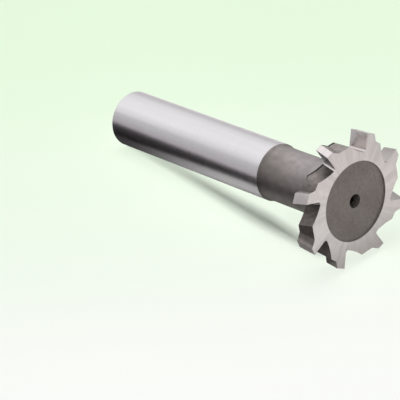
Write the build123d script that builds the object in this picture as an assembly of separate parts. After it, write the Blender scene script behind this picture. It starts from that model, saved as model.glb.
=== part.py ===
from build123d import *
import os
from math import asin, atan2, cos, degrees, radians, sin, sqrt, tan

# A t slot cutter, one piece of high speed steel: a plain round shank, a slimmer neck and a
# toothed disc. It is shaped about the X axis with the shank's end at 0 and the cutting face
# towards +X, and then laid down as it rests, on two teeth and on the edge of the shank's end.
# All sizes are in millimetres and all angles in degrees.

# Lengths along the axis
overall_length = 90.6
neck_and_head_length = 29.2
neck_back_length = 14.2
head_width = 5.0

# Ground shank and head, and how far each length of the neck is turned below the one behind it
shank_diameter = 16.0
head_diameter = 36.5
shoulder_height = 0.45
neck_step_height = 0.2

# How far each of these steps down takes along the axis, as a short cone
shoulder_run = 0.8
neck_step_run = 0.5

# Broken edges and corners
shank_chamfer = 0.8
neck_fillet = 1.0

# Shallow recess in the cutting face, inside a flat ring, and the centre hole at its middle
ring_width = 2.2
recess_depth = 0.4
recess_corner_radius = 0.1
countersink_diameter = 3.8
countersink_angle = 60.0
pilot_diameter = 2.0
pilot_length = 4.0

# Teeth: the passes lean to one side and the other in turn, so that the teeth are staggered
tooth_count = 8
helix_angle = 12.0
rake_angle = 4.0
clearance_angle = 8.0
wide_land_width = 2.8
narrow_land_width = 2.1

# Step behind each land, and the second clearance that follows it
step_run = 0.75
step_depth = 1.95
second_clearance_angle = 22.0

# Gullet in front of each tooth: a milled hollow with a curved floor
gullet_depth = 5.15
gullet_root_fillet = 0.7
gullet_span = 6.6
gullet_rise = 2.0
gullet_bow = 0.35

# How far a cutting tool reaches past the metal
run_out = 2.0

shank_radius = shank_diameter / 2
head_radius = head_diameter / 2
gullet_root_radius = head_radius - gullet_depth
recess_radius = gullet_root_radius - ring_width
step_foot_radius = head_radius - step_depth
neck_front_end = overall_length - head_width
neck_start = overall_length - neck_and_head_length
pitch_angle = 360 / tooth_count
lean = tan(radians(helix_angle))


def turned_blank():
    # The whole tool before milling: a profile turned about the X axis.
    neck_back_radius = shank_radius - shoulder_height
    neck_front_radius = neck_back_radius - neck_step_height
    outline = Polyline(
        (0, 0),
        (0, shank_radius - shank_chamfer),
        (shank_chamfer, shank_radius),
        (neck_start, shank_radius),
        (neck_start + shoulder_run, neck_back_radius),
        (neck_start + neck_back_length, neck_back_radius),
        (neck_start + neck_back_length + neck_step_run, neck_front_radius),
        (neck_front_end - neck_fillet, neck_front_radius),
    )
    corner = CenterArc(
        (neck_front_end - neck_fillet, neck_front_radius + neck_fillet),
        neck_fillet,
        start_angle=270,
        arc_size=90,
    )
    head = Polyline(
        (neck_front_end, neck_front_radius + neck_fillet),
        (neck_front_end, head_radius),
        (overall_length, head_radius),
        (overall_length, 0),
        (0, 0),
    )
    return revolve(make_face(outline + corner + head), axis=Axis.X)


def face_recess():
    # The shallow round recess in the cutting face, with a small radius at its floor.
    disc = Plane.YZ.offset(overall_length - recess_depth) * Circle(recess_radius)
    recess = extrude(disc, recess_depth + run_out)
    floor_edge = recess.edges().filter_by(GeomType.CIRCLE).sort_by(Axis.X)[0]
    return fillet(floor_edge, recess_corner_radius)


def centre_hole():
    # A centre-drilled hole: a conical mouth that narrows to a short pilot.
    mouth_radius = countersink_diameter / 2
    pilot_radius = pilot_diameter / 2
    mouth = overall_length - recess_depth
    cone_depth = (mouth_radius - pilot_radius) / tan(radians(countersink_angle / 2))
    outline = Polyline(
        (mouth + run_out, 0),
        (mouth + run_out, mouth_radius),
        (mouth, mouth_radius),
        (mouth - cone_depth, pilot_radius),
        (mouth - cone_depth - pilot_length, pilot_radius),
        (mouth - cone_depth - pilot_length, 0),
        (mouth + run_out, 0),
    )
    return revolve(make_face(outline), axis=Axis.X)


def leaning_pass(shape, tooth_angle, side):
    # Runs a flat shape, drawn with its X backwards from the cutting edge and its Y outwards
    # from the axis, through the head along a line that leans with the tooth.
    angle = radians(tooth_angle)
    backwards = Vector(0, sin(angle), -cos(angle))
    start = Plane(origin=(neck_front_end - run_out, 0, 0), x_dir=backwards, z_dir=(1, 0, 0))
    travel = Vector(1, 0, 0) + backwards * (side * lean)
    middle_shift = side * lean * (head_width / 2 + run_out)
    placed = start * Pos(-middle_shift, 0, 0) * shape
    return extrude(placed, amount=(head_width + 2 * run_out) * travel.length, dir=travel)


def gullet_shape():
    # The hollow in front of a cutting edge, bounded by the rake face and a curved floor.
    slope = tan(radians(rake_angle))
    top = head_radius + run_out
    root = (slope * (head_radius - gullet_root_radius), gullet_root_radius)
    far_side = (root[0] - gullet_span, gullet_root_radius + gullet_rise)
    bow_point = ((root[0] + far_side[0]) / 2, (root[1] + far_side[1]) / 2 - gullet_bow)
    rake_face = Polyline((-slope * run_out, top), root)
    floor = ThreePointArc(root, bow_point, far_side)
    opening = Polyline(far_side, (far_side[0] - gullet_rise, top), (-slope * run_out, top))
    shape = make_face(rake_face + floor + opening)
    root_corner = shape.vertices().sort_by(Axis.Y)[0]
    return fillet(root_corner, gullet_root_fillet)


def tooth_back_shape(land_width):
    # What is ground away behind a cutting edge: clearance on the land, a steep step down,
    # and a second clearance that runs out into the next gullet.
    top = head_radius + run_out
    heel = (land_width, head_radius - land_width * tan(radians(clearance_angle)))
    foot_distance = wide_land_width + step_run
    foot = (foot_distance, sqrt(step_foot_radius**2 - foot_distance**2))
    reach = head_radius * sin(radians(pitch_angle)) - gullet_span / 2
    second_drop = (reach - foot_distance) * tan(radians(second_clearance_angle))
    tail = (reach, foot[1] - second_drop)
    return make_face(Polyline((0, head_radius), heel, foot, tail, (tail[0], top), (0, top), (0, head_radius)))


def tooth_side(index):
    # Even teeth fall back towards the cutting face, and odd teeth towards the shank.
    return 1 if index % 2 == 0 else -1


def mill_teeth(blank):
    # Cuts the gullets first, and then the back of each tooth.
    backs = {1: tooth_back_shape(wide_land_width), -1: tooth_back_shape(narrow_land_width)}
    gullet = gullet_shape()
    cuts = []
    for index in range(tooth_count):
        side = tooth_side(index)
        cuts.append(leaning_pass(gullet, index * pitch_angle, side))
        cuts.append(leaning_pass(backs[side], index * pitch_angle, side))
    return blank - cuts


def resting_corners():
    # The two corners that the head stands on, seen along the axis: the cutting edge of tooth 0
    # and the heel of tooth 1, both at the back of the head.
    back_shift = lean * head_width / 2
    edge = asin(back_shift / head_radius)
    first = (head_radius * cos(edge), head_radius * sin(edge))
    heel_back = narrow_land_width + back_shift
    heel_out = head_radius - narrow_land_width * tan(radians(clearance_angle))
    turn = radians(pitch_angle)
    second = (
        heel_out * cos(turn) + heel_back * sin(turn),
        heel_out * sin(turn) - heel_back * cos(turn),
    )
    return first, second


def lay_down(cutter):
    # Rolls the tool until both corners are level, and tips it until the shank's end touches too.
    first, second = resting_corners()
    roll = -degrees(atan2(second[1] - first[1], second[0] - first[0]))
    level = radians(roll)
    drop = -(first[0] * sin(level) + first[1] * cos(level))
    tilt = degrees(atan2(drop - shank_radius, neck_front_end - shank_chamfer))
    return Rot(0, -tilt, 0) * Rot(roll, 0, 0) * cutter


def stand_on_origin(cutter):
    # Puts the middle of the box's underside at the origin.
    box = cutter.bounding_box()
    return Pos(-box.center().X, -box.center().Y, -box.min.Z) * cutter


blank = turned_blank() - face_recess() - centre_hole()
cutter = stand_on_origin(lay_down(mill_teeth(blank)))

os.makedirs("parts", exist_ok=True)
export_step(cutter, "parts/t_slot_cutter.step")
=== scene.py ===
from math import hypot, radians
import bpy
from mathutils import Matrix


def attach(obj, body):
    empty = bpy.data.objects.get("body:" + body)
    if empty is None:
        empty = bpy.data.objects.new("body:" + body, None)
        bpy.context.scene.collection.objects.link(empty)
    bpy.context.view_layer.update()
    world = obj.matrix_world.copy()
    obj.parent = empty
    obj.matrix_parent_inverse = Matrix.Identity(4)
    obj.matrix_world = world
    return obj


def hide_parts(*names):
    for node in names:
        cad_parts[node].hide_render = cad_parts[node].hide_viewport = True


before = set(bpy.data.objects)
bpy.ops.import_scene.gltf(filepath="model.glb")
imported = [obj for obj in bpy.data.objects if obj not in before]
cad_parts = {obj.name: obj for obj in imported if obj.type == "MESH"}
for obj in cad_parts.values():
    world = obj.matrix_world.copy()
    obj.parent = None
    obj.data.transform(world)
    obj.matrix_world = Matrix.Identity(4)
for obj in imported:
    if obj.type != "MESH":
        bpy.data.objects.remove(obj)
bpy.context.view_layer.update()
from types import SimpleNamespace

import bmesh
import bpy
from mathutils import Matrix, Vector

# The tool's body: one bar of high speed steel, turned to a shank, a neck and a disc, and then
# milled and ground. It lies on two teeth and on the edge of its shank, so its axis is tipped.
tilt = radians(6.29566)
shank_end = Vector((-0.045564, 0, 0.00786403))
overall_length = 0.0906
laid_down = Matrix.Translation(shank_end) @ Matrix.Rotation(-tilt, 4, "Y")
face_centre = laid_down @ Vector((overall_length, 0, 0))

# The mesh of the solids comes as loose triangles, so a copy of it is joined up, and triangles
# that lie in one plane are made one, apart from the flats square to the axis.
weld_gap = 0.000002
same_plane = radians(0.3)
square_on = 0.99
body = bmesh.new()
body.from_mesh(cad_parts["t_slot_cutter"].data)
bmesh.ops.remove_doubles(body, verts=body.verts, dist=weld_gap)
axis = Matrix.Rotation(-tilt, 3, "Y") @ Vector((1, 0, 0))
free_edges = [
    edge
    for edge in body.edges
    if all(abs(side.normal.dot(axis)) < square_on for side in edge.link_faces)
]
bmesh.ops.dissolve_limit(body, angle_limit=same_plane, verts=[], edges=free_edges)
for polygon in body.faces:
    polygon.smooth = True

# Shank: a plain round shank, ground between wheels to its size. Grinding leaves it bright, with
# very fine lines round it that spread each highlight along the tool, and a few faint streaks
# where it was drawn through.
finishes = []

# A Mix node's sockets for its two colours, and for the result.
first_colour, second_colour, mixed_colour = 6, 7, 2

# Noise keeps to the middle of its range, so a roughness changes over this part of it.
noise_from, noise_to = 0.2, 0.8


def add_node(tree, kind, settings={}, values={}, links={}):
    """Adds a node with its settings, the values of its sockets and the links into them."""
    node = tree.nodes.new(kind)
    for name, value in settings.items():
        setattr(node, name, value)
    for socket, value in values.items():
        node.inputs[socket].default_value = value
    for socket, source in links.items():
        tree.links.new(source, node.inputs[socket])
    return node


def from_hex(code):
    """An sRGB hex colour turned to linear light."""
    parts = [int(code[i : i + 2], 16) / 255 for i in (0, 2, 4)]
    return [*(p / 12.92 if p <= 0.04045 else ((p + 0.055) / 1.055) ** 2.4 for p in parts), 1]


def steel(name):
    """A finish on steel: its node tree, its shader, and places measured in metres from the
    middle of the cutting face, with X along the tool."""
    material = bpy.data.materials.new(name)
    material.use_nodes = True
    tree = material.node_tree
    shader = tree.nodes["Principled BSDF"]
    shader.inputs["Metallic"].default_value = 1
    place = add_node(tree, "ShaderNodeTexCoord")
    along = add_node(
        tree,
        "ShaderNodeMapping",
        {"vector_type": "TEXTURE"},
        {"Location": face_centre, "Rotation": (0, -tilt, 0)},
        {"Vector": place.outputs["Object"]},
    )
    finishes.append(material)
    return tree, shader, along.outputs["Vector"]


def marks(tree, place, size, detail):
    """Uneven marks from 0 to 1, whose size is in millimetres along the tool and across it."""
    stretched = add_node(
        tree,
        "ShaderNodeMapping",
        {},
        {"Scale": [1000 / length for length in size]},
        {"Vector": place},
    )
    noise = add_node(
        tree,
        "ShaderNodeTexNoise",
        {},
        {"Scale": 1, "Detail": detail},
        {"Vector": stretched.outputs["Vector"]},
    )
    return noise.outputs["Fac"]


def tint(tree, under, over, amount, start, end, strength=1):
    """Lays one colour over another, softly, where an amount goes from start to end. Each colour
    is a hex colour or the result of an earlier tint."""
    share = add_node(
        tree,
        "ShaderNodeMapRange",
        {"interpolation_type": "SMOOTHSTEP"},
        {"From Min": start, "From Max": end, "To Max": strength},
        {"Value": amount},
    )
    mix = add_node(
        tree, "ShaderNodeMix", {"data_type": "RGBA"}, {}, {0: share.outputs["Result"]}
    )
    for socket, colour in ((first_colour, under), (second_colour, over)):
        if isinstance(colour, str):
            mix.inputs[socket].default_value = from_hex(colour)
        else:
            tree.links.new(colour, mix.inputs[socket])
    return mix.outputs[mixed_colour]


def surface(tree, shader, tone, relief, depth, roughness, dulled_by=None):
    """Puts a tone on the shader, a relief of a depth in millimetres, and a roughness: one value,
    or the two that a pattern goes between."""
    tree.links.new(tone, shader.inputs["Base Color"])
    bump = add_node(
        tree,
        "ShaderNodeBump",
        {},
        {"Strength": 1, "Distance": depth / 1000},
        {"Height": relief},
    )
    tree.links.new(bump.outputs["Normal"], shader.inputs["Normal"])
    if dulled_by is None:
        shader.inputs["Roughness"].default_value = roughness
        return
    smooth, rough = roughness
    dulled = add_node(
        tree,
        "ShaderNodeMapRange",
        {"interpolation_type": "SMOOTHSTEP"},
        {"From Min": noise_from, "From Max": noise_to, "To Min": smooth, "To Max": rough},
        {"Value": dulled_by},
    )
    tree.links.new(dulled.outputs["Result"], shader.inputs["Roughness"])


def coat(belongs):
    """Gives the newest finish to the faces that it belongs to. A face is known by its place
    along the axis and out from it, in millimetres, and by how far it looks ahead along the
    axis, outwards, and round it."""
    stood_up = laid_down.inverted()
    for polygon in body.faces:
        centre = stood_up @ polygon.calc_center_median() * 1000
        normal = Matrix.Rotation(tilt, 3, "Y") @ polygon.normal
        outward = Vector((0, centre.y, centre.z)).normalized()
        sideways = Vector((1, 0, 0)).cross(outward)
        face = SimpleNamespace(
            along=centre.x,
            out=hypot(centre.y, centre.z),
            ahead=normal.x,
            outward=normal.dot(outward),
            turned=normal.dot(sideways),
        )
        if belongs(face):
            polygon.material_index = len(finishes) - 1


tree, shader, along = steel("centreless-ground steel")
# The lines are 0.05 mm apart, and drawn at 0.3 mm so that they show.
lines = marks(tree, along, (0.3, 18, 18), 3)
streaks = marks(tree, along, (40, 1.2, 1.2), 3)
tone = tint(tree, "C6C4C6", "CECCCE", streaks, 0.3, 0.7)
tone = tint(tree, tone, "D5D3D5", lines, 0.25, 0.75, 0.35)
surface(tree, shader, tone, lines, 0.0005, (0.27, 0.33), lines)
coat(lambda face: True)

# Shank's end: faced across on the lathe and left bright, with the tool's fine rings round its
# middle. Its edge is chamfered, so that it goes into a holder easily.
chamfer_end, looks_back = 0.9, -0.5


def from_axis(tree, along, measure="LENGTH", result="Value"):
    """How far out from the tool's axis a place is, in metres, or in which direction."""
    across = add_node(
        tree, "ShaderNodeVectorMath", {"operation": "MULTIPLY"}, {1: (0, 1, 1)}, {0: along}
    )
    out = add_node(
        tree,
        "ShaderNodeVectorMath",
        {"operation": measure},
        {},
        {0: across.outputs["Vector"]},
    )
    return out.outputs[result]


tree, shader, along = steel("faced steel")
radius = from_axis(tree, along)
# The rings are 0.1 mm apart, and drawn at 0.4 mm so that they show.
rings = marks(tree, radius, (0.4, 0.4, 0.4), 2)
tone = tint(tree, "BAB6B7", "CCC8CA", rings, 0.3, 0.7)
surface(tree, shader, tone, rings, 0.002, 0.34)
coat(lambda face: face.along < chamfer_end and face.ahead < looks_back)

# Neck: turned down from the bar and left as it came from hardening, dark and nearly matt. It is
# browner by the shoulder, where the heat coloured it, and greyer after its second, slighter
# step.
# It is painted darker below its top, as shade, and lighter on top, as light from overhead.
shoulder, browned_to, second_step = -0.0292, -0.0185, -0.0146
shade_below_top, lit_top = (0.0068, 0.0042), (0.0066, 0.0076)
neck_from, neck_to, neck_reach = 61.3, 85.6, 9


def worn(tree, tone, pattern, dark, light, strength, full=0.72):
    """Lets a pattern darken and lighten a tone, as wear and scale do."""
    wear = tint(tree, dark, light, pattern, 0.3, full)
    mix = add_node(
        tree,
        "ShaderNodeMix",
        {"data_type": "RGBA", "blend_type": "SOFT_LIGHT"},
        {0: strength},
        {first_colour: tone, second_colour: wear},
    )
    return mix.outputs[mixed_colour]


tree, shader, along = steel("turned steel, dark from hardening")
place = add_node(tree, "ShaderNodeSeparateXYZ", {}, {}, {0: along}).outputs
# The lathe's feed marks are 0.12 mm apart, and drawn at 0.5 mm so that they show.
feed = marks(tree, along, (0.5, 14, 14), 3)
mottle = marks(tree, along, (2.2, 1.6, 1.6), 4)
tone = tint(tree, "7C7774", "948E8D", place["X"], shoulder, browned_to)
tone = tint(tree, tone, "948F90", place["X"], browned_to, second_step)
# Painted shade: the neck is darker below its top.
tone = tint(tree, tone, "6E6866", place["Z"], *shade_below_top, 0.5)
# Painted highlight: the neck is lighter on top.
tone = tint(tree, tone, "AAA4A4", place["Z"], *lit_top, 0.5)
tone = worn(tree, tone, mottle, "9A9490", "DAD8D6", 0.3)
surface(tree, shader, tone, feed, 0.004, (0.43, 0.55), feed)
coat(lambda face: neck_from < face.along < neck_to and face.out < neck_reach)

# Gullets and the backs of the teeth: milled across before hardening, so they are dark too. They
# are painted darker low on the disc and in the roots, as shade, and lighter above, in the
# topmost gullet and on the tips that face up, as light from overhead. A dark line runs along the
# back edge high on the disc.
upper_half, gullet_floor = (0.0085, 0.0125), (0.0152, 0.0136)
topmost, topmost_floor = (0.0122, 0.013), (0.0153, 0.0149)
above_underside, tooth_tips = (-0.012, -0.009), (0.017, 0.0178)
back_edge, high_up = (-0.0042, -0.0046), (0.0103, 0.0115)
head_from, head_to, head_reach = 85.7, 90.5, 12

tree, shader, along = steel("milled steel, dark from hardening")
radius = from_axis(tree, along)
place = add_node(tree, "ShaderNodeSeparateXYZ", {}, {}, {0: along}).outputs
# The cutter's marks are 0.2 mm apart, and drawn at 0.45 mm so that they show.
cuts = marks(tree, along, (9, 0.45, 0.45), 3)
scale = marks(tree, along, (1.3, 1.0, 1.0), 4)
# Painted shade: darker low on the disc, lighter above.
tone = tint(tree, "686260", "918B88", place["Z"], *upper_half)
# Painted shade in the gullet roots.
tone = tint(tree, tone, "46423F", radius, *gullet_floor, 0.65)
# Painted light: the topmost gullet's floor is lighter.
lit_topmost_floor = tint(tree, tone, "BEB8B5", radius, *topmost_floor)
tone = tint(tree, tone, lit_topmost_floor, place["Z"], *topmost)
# Painted light: the tips are lighter, apart from the lowest.
lit_tips = tint(tree, tone, "98928F", place["Z"], *above_underside)
tone = tint(tree, tone, lit_tips, radius, *tooth_tips)
# A dark line along the back edge, high on the disc.
dark_back_line = tint(tree, tone, "1E1B19", place["X"], *back_edge)
tone = tint(tree, tone, dark_back_line, place["Z"], *high_up)
tone = worn(tree, tone, scale, "8A8480", "E2E0DE", 0.4)
surface(tree, shader, tone, cuts, 0.004, (0.36, 0.5), cuts)
coat(lambda face: head_from < face.along < head_to and face.out > head_reach)

# Teeth: the rake faces and the lands are ground after hardening, and the wheel leaves fine lines
# round the tool. The rakes keep darker patches that it only just reached. The rakes and lands
# are painted darker as shade towards both sides of the disc, the rakes in their roots too, less
# so in the topmost one, and the lowest land most of all.
to_right, far_right = (0.007, 0.017), (0.0105, 0.0125)
to_left, far_left = (-0.004, -0.007), (-0.0155, -0.0168)
past_middle, underside, lowest_land_shade = (-0.003, 0), (-0.007, -0.004), (-0.015, -0.0165)
rake_root, topmost_root, land = (0.0142, 0.0138), (0.0105, 0.0125), (0.0174, 0.0178)
rake_turn, land_out = 0.1, 17.7

tree, shader, along = steel("cutter-ground steel")
radius = from_axis(tree, along)
place = add_node(tree, "ShaderNodeSeparateXYZ", {}, {}, {0: along}).outputs
# The wheel's lines are 0.05 mm apart, and drawn at 0.35 mm so that they show.
lines = marks(tree, along, (0.35, 7, 7), 3)
patches = marks(tree, along, (1.6, 1.1, 1.1), 4)
bright = tint(tree, "C8C2C1", "DAD5D4", lines, 0.25, 0.75)
rake = tint(tree, bright, "8A8481", patches, 0.52, 0.72, 0.5)
# Painted shade: rakes towards the right are darker.
rake = tint(tree, rake, "8F8987", place["Y"], *to_right, 0.8)
# Painted shade in the rake roots, lighter in the topmost.
shaded_root_tone = tint(tree, "9A9492", "C4BEBC", place["Z"], *topmost_root)
root = tint(tree, rake, shaded_root_tone, radius, *rake_root)
rake = tint(tree, rake, root, place["Y"], *past_middle)
# Painted shade: rakes towards the left are dark, apart from their roots and the low ones.
shaded_left_rake = tint(tree, rake, "3A3532", place["Z"], *underside)
shaded_left_rake = tint(tree, shaded_left_rake, rake, radius, *rake_root)
rake = tint(tree, rake, shaded_left_rake, place["Y"], *to_left, 0.8)
tone = tint(tree, rake, bright, radius, *land)
# Painted shade: lands towards both sides are darker.
tone = tint(tree, tone, rake, place["Y"], *far_right)
tone = tint(tree, tone, "8F8987", place["Y"], *far_left, 0.3)
# Painted shade: the lowest land is dark.
tone = tint(tree, tone, "4A4542", place["Z"], *lowest_land_shade, 0.8)
surface(tree, shader, tone, lines, 0.0015, (0.26, 0.38), lines)
coat(lambda face: face.turned > rake_turn or face.out > land_out)

# Cutting face: the ring and the sides of the teeth are ground flat by a cup wheel, which leaves
# streaks that point to the axis. Behind, the disc is ground too, outside a dark turned middle.
flat_from = 85
dark_middle = (0.0111, 0.0108)

tree, shader, along = steel("surface-ground steel")
radius = from_axis(tree, along)
way = from_axis(tree, along, "NORMALIZE", "Vector")
# The streaks go by direction, so their sizes are angles in thousandths of a radian: on the ring
# the broad ones are about 2 mm wide, and the fine ones 0.4 mm.
broad = marks(tree, way, (130, 130, 130), 1)
fine = marks(tree, way, (28, 28, 28), 4)
cloud = marks(tree, along, (3.2, 2, 2), 4)
tone = tint(tree, "CFC9C8", "DED8D7", broad, 0.3, 0.7)
tone = tint(tree, tone, "C4BDBC", fine, 0.35, 0.75, 0.22)
tone = tint(tree, tone, "C8C1C0", cloud, 0.45, 0.75, 0.5)
tone = tint(tree, tone, "7A7472", radius, *dark_middle)
surface(tree, shader, tone, fine, 0.001, (0.3, 0.4), fine)
coat(lambda face: abs(face.ahead) > square_on and face.along > flat_from)

# Recess: faced a little deeper than the ring before hardening, and left dark and matt, with the
# lathe's rings round its middle.
recess_from, recess_reach = 89, 10.95
looks_ahead, looks_inwards = 0.2, -0.5

tree, shader, along = steel("faced steel, dark from hardening")
radius = from_axis(tree, along)
# The rings are 0.1 mm apart, and drawn at 0.5 mm so that they show.
rings = marks(tree, radius, (0.5, 0.5, 0.5), 2)
scale = marks(tree, along, (0.7, 0.7, 0.7), 4)
cloud = marks(tree, along, (6, 6, 6), 2)
tone = tint(tree, "7C7573", "837D7A", cloud, 0.3, 0.7)
tone = worn(tree, tone, scale, "8E8884", "DEDCDA", 0.35, 0.7)
tone = tint(tree, tone, "8A8380", rings, 0.4, 0.8, 0.15)
surface(tree, shader, tone, rings, 0.001, (0.45, 0.56), scale)
coat(
    lambda face: face.along > recess_from
    and face.out < recess_reach
    and (face.ahead > looks_ahead or face.outward < looks_inwards)
)

# Centre hole: drilled to take the point of a lathe's centre. It is painted almost black, as the
# shade deep inside it.
hole_from, hole_to, hole_reach = 80, 90.3, 2

tree, shader, along = steel("drilled steel, painted black as shade")
hole_mottle = marks(tree, along, (0.6, 0.6, 0.6), 3)
# Painted shade: the hole is almost black.
tone = tint(tree, "3A3633", "55504D", hole_mottle, 0.3, 0.7)
surface(tree, shader, tone, hole_mottle, 0.01, 0.6)
coat(lambda face: hole_from < face.along < hole_to and face.out < hole_reach)

# The finished tool: each edge is broken by the last light stroke of a stone, which is what
# catches the light, and the ground faces stay flat up to it.
edge_break = 0.00006
sharp_edge = radians(30)


def make_piece(name, shape):
    """Turns a shape into an object at the origin."""
    mesh = bpy.data.meshes.new(name)
    shape.to_mesh(mesh)
    shape.free()
    piece = bpy.data.objects.new(name, mesh)
    bpy.context.scene.collection.objects.link(piece)
    return piece


cutter = make_piece("t_slot_cutter_body", body)
for material in finishes:
    cutter.data.materials.append(material)
broken = cutter.modifiers.new("broken edges", "BEVEL")
broken.width = edge_break
broken.segments = 2
broken.angle_limit = sharp_edge
broken.use_clamp_overlap = False
crisp = cutter.modifiers.new("flats stay flat", "WEIGHTED_NORMAL")
crisp.mode = "FACE_AREA"
crisp.weight = 90
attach(cutter, "root")
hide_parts("t_slot_cutter")

# Floor: a plain sheet of pale matt paper, rolled out under the tool. It is white in front and a
# little green towards the back. Far off, where the lamps leave it dim, it shows its own colour.
half_sheet = 3
front, backwards = (0.071, -0.075, 0), radians(139.6)
front_to_back, whitest = (-0.02, 0.23), (0, 0.08)
left_to_right = (0.06, -0.06)
lit_to, plain_from = 0.15, 0.4


def matt(piece, name):
    """Gives a piece a matt finish, and returns its node tree and its shader."""
    material = bpy.data.materials.new(name)
    material.use_nodes = True
    piece.data.materials.append(material)
    tree = material.node_tree
    shader = tree.nodes["Principled BSDF"]
    shader.inputs["Roughness"].default_value = 1
    shader.inputs["Specular IOR Level"].default_value = 0
    return tree, shader


def in_view_or_polish(tree):
    """1 for a ray from the camera or from a reflection, and 0 for the rest of the light."""
    seen = add_node(tree, "ShaderNodeLightPath").outputs
    either = add_node(
        tree,
        "ShaderNodeMath",
        {"operation": "MAXIMUM"},
        {},
        {0: seen["Is Camera Ray"], 1: seen["Is Glossy Ray"]},
    )
    return either.outputs["Value"]


sheet = bmesh.new()
bmesh.ops.create_grid(sheet, x_segments=1, y_segments=1, size=half_sheet)
floor = make_piece("floor", sheet)
tree, shader = matt(floor, "pale matt paper")
place = add_node(tree, "ShaderNodeTexCoord").outputs["Object"]
turned = add_node(
    tree,
    "ShaderNodeMapping",
    {"vector_type": "TEXTURE"},
    {"Location": front, "Rotation": (0, 0, backwards)},
    {"Vector": place},
)
on_sheet = add_node(tree, "ShaderNodeSeparateXYZ", {}, {}, {0: turned.outputs["Vector"]}).outputs
tone = tint(tree, "F7FBF5", "E9FDE1", on_sheet["X"], *front_to_back)
tone = tint(tree, "FEFFFC", tone, on_sheet["X"], *whitest)
tone = tint(tree, tone, "000000", on_sheet["Y"], *left_to_right, 0.03)
tree.links.new(tone, shader.inputs["Base Color"])
away = add_node(tree, "ShaderNodeVectorMath", {"operation": "LENGTH"}, {}, {0: place})
far = add_node(
    tree,
    "ShaderNodeMapRange",
    {"interpolation_type": "SMOOTHSTEP"},
    {"From Min": lit_to, "From Max": plain_from},
    {"Value": away.outputs["Value"]},
)
unlit = add_node(
    tree,
    "ShaderNodeMath",
    {"operation": "MULTIPLY"},
    {},
    {0: far.outputs["Result"], 1: in_view_or_polish(tree)},
)
own_colour = add_node(tree, "ShaderNodeEmission", {}, {"Strength": 1}, {"Color": tone})
both = add_node(
    tree,
    "ShaderNodeMixShader",
    {},
    {},
    {0: unlit.outputs["Value"], 1: shader.outputs["BSDF"], 2: own_colour.outputs["Emission"]},
)
tree.links.new(both.outputs["Shader"], tree.nodes["Material Output"].inputs["Surface"])

# Light: a wide soft box overhead, brighter in its middle, and an even pale room round it, which
# the polish shows. The paper has a smaller lamp and a fill, so that the shadow keeps close to
# the tool.
room = bpy.data.worlds.new("pale room")
room.use_nodes = True
tree = room.node_tree
level = add_node(
    tree,
    "ShaderNodeMapRange",
    {},
    {"To Min": 0.05, "To Max": 0.7},
    {"Value": in_view_or_polish(tree)},
)
background = tree.nodes["Background"]
background.inputs["Color"].default_value = from_hex("FFFFFF")
tree.links.new(level.outputs["Result"], background.inputs["Strength"])
bpy.context.scene.world = room


def lamp(name, place, width, depth, radiance, for_paper):
    """A rectangular lamp for the polish or for the paper. Its power follows from its radiance:
    4 watts for each unit on each square metre."""
    light = bpy.data.lights.new(name, "AREA")
    light.shape = "RECTANGLE"
    light.size = width
    light.size_y = depth
    light.energy = 4 * radiance * width * depth
    holder = bpy.data.objects.new(name, light)
    holder.location = place
    holder.visible_glossy = not for_paper
    holder.visible_diffuse = for_paper
    bpy.context.scene.collection.objects.link(holder)
    return holder


lamp("soft box", (-0.8, 0.45, 0.8), 2.8, 3.5, 0.36, False)
lamp("soft box middle", (-0.8, 0, 0.81), 2.8, 1.25, 0.12, False)
paper_lamp = lamp("paper lamp", (0.075, 0.3, 1.2), 0.27, 0.27, 34, True)
paper_lamp.rotation_euler = paper_lamp.location.to_track_quat("Z", "Y").to_euler()
fill = lamp("paper fill", (0, -0.2, 1.2), 0.95, 0.95, 1.625, True)
fill.data.use_shadow = False

# Shadow: under a big lamp only the core of a round bar's shadow is dark. A slim rod, high inside
# the tool and just over its shank, stands for that core. Only the rod keeps the paper lamp off
# the paper.
rod_back = Vector((-0.0447, 0.0033, 0.0169))
rod_front = Vector((0.038, -0.0002, 0.0171))
# Its radius at five places, each given as a share of the way to the front.
rod_radii = [(0, 0.0006), (0.28, 0.001), (0.45, 0.0017), (0.7, 0.0025), (1, 0.0007)]
rod = bmesh.new()
for (start, start_radius), (end, end_radius) in zip(rod_radii, rod_radii[1:]):
    run = (rod_front - rod_back) * (end - start)
    middle = rod_back.lerp(rod_front, (start + end) / 2)
    bmesh.ops.create_cone(
        rod,
        cap_ends=True,
        segments=16,
        radius1=start_radius,
        radius2=end_radius,
        depth=run.length,
        matrix=Matrix.Translation(middle) @ run.to_track_quat("Z", "Y").to_matrix().to_4x4(),
    )
core = make_piece("shadow_core", rod)
core.visible_camera = False
core.visible_glossy = False
core.visible_diffuse = False
blockers = bpy.data.collections.new("shadow core")
blockers.objects.link(core)
paper_lamp.light_linking.blocker_collection = blockers

# Cloths: they lie on the paper round the tool and are seen only in its polish, as painted
# reflections. The black one paints the dark streak low on the shank, a reflection of dark things
# and shade beside the tool, and the shaded one, which stands for the paper in the tool's shadow,
# what shows under it. The white ones keep the paper's green off the steel, and the others paint
# shade into the reflections in the gullets and the cutting face.
cloth_height = 0.0003


def cloth(name, corners, colour, turns_to=None, start=0, end=0):
    """A matt cloth of one colour, or one that turns to another between two places along X."""
    cut = bmesh.new()
    cut.faces.new([cut.verts.new((x, y, cloth_height)) for x, y in corners])
    piece = make_piece(name, cut)
    tree, shader = matt(piece, name)
    if turns_to is None:
        shader.inputs["Base Color"].default_value = from_hex(colour)
    else:
        place = add_node(tree, "ShaderNodeTexCoord").outputs["Object"]
        ahead = add_node(tree, "ShaderNodeSeparateXYZ", {}, {}, {0: place}).outputs["X"]
        tone = tint(tree, colour, turns_to, ahead, start, end)
        tree.links.new(tone, shader.inputs["Base Color"])
    piece.visible_camera = False
    piece.visible_diffuse = False
    piece.visible_shadow = False


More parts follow.
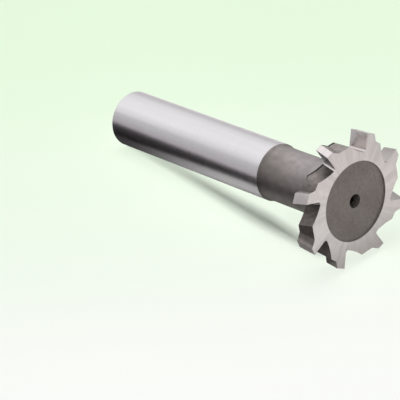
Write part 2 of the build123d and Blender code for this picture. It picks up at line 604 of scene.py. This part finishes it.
near_side = [(0.02, -0.019), (-0.005, -0.018), (-0.025, -0.014), (-0.04, -0.011)]
near_side += [(-0.054, -0.009)]
far_side = [(-0.13, -0.058), (-0.03, -0.066), (0.018, -0.049)]
near_end = [(-0.13, -0.009)]
# Painted reflection of dark things and shade beside the tool.
cloth("black cloth", far_side + near_side + near_end, "1E1C1D", "2E2C2D", -0.03, 0.01)
under_side = [(-0.054, 0.02), (0.018, 0.02)]
# Painted reflection of the paper in the tool's shadow.
cloth("shaded cloth", under_side + near_side, "4A4848", "CCCCCA", -0.046, 0)
beside_head = [(-0.032, -0.0665), (-0.08, -0.25), (0.05, -0.25), (0.041, -0.03)]
beside_head += [(0.041, -0.006), (0.0205, -0.008), (0.0185, -0.0495)]
# Painted reflection of the shade under the head.
cloth("grey cloth", beside_head, "8C8A89")
before_face = [(0.0445, -0.03), (0.085, -0.03), (0.085, 0.028), (0.0445, 0.028)]
# Painted reflection of the shade before the cutting face.
cloth("pale cloth", before_face, "B6B4B2", "F6F8F5", 0.048, 0.07)
past_black = [(-0.13, -0.058), (-0.03, -0.066), (-0.08, -0.25), (-0.33, -1.2)]
past_black += [(-1.4, -1.2), (-0.8, -0.058)]
cloth("white cloth", past_black, "F3E9F0")
behind_shank = [(-0.1, 0.012), (0.012, 0.012), (-0.07, 0.16), (-0.4, 0.8), (-1.2, 0.8)]
cloth("white cloth behind", behind_shank, "F3E9F0")
past_face = [(0.08, 0.058), (0.14, 0.058), (0.14, 0.1), (0.08, 0.1)]
cloth("light cloth", past_face, "C8C4C4")
round_face = [(0.0855, -0.03), (0.2, -0.03), (0.2, 0.0575), (0.0445, 0.0575)]
round_face += [(0.0445, 0.0285), (0.0855, 0.0285)]
cloth("white cloth before", round_face, "F4F0EE")

# Camera: a long lens, above and in front of the toothed end, and rolled by a few degrees. Both
# were fitted to the tool's edges in the photo.
lens = bpy.data.cameras.new("camera")
lens.lens = 186.18
lens.sensor_width = 36
lens.clip_start = 0.05
lens.clip_end = 20
looked_at = Vector((0.007, -0.02096, 0.012))
roll = radians(-3.8026)
camera = bpy.data.objects.new("camera", lens)
camera.location = (0.36229, -0.32296, 0.30546)
aim = looked_at - camera.location
turn = aim.to_track_quat("-Z", "Y").to_matrix().to_4x4() @ Matrix.Rotation(roll, 4, "Z")
camera.rotation_euler = turn.to_euler()
bpy.context.scene.collection.objects.link(camera)
bpy.context.scene.camera = camera
bpy.context.scene.view_settings.view_transform = "Standard"
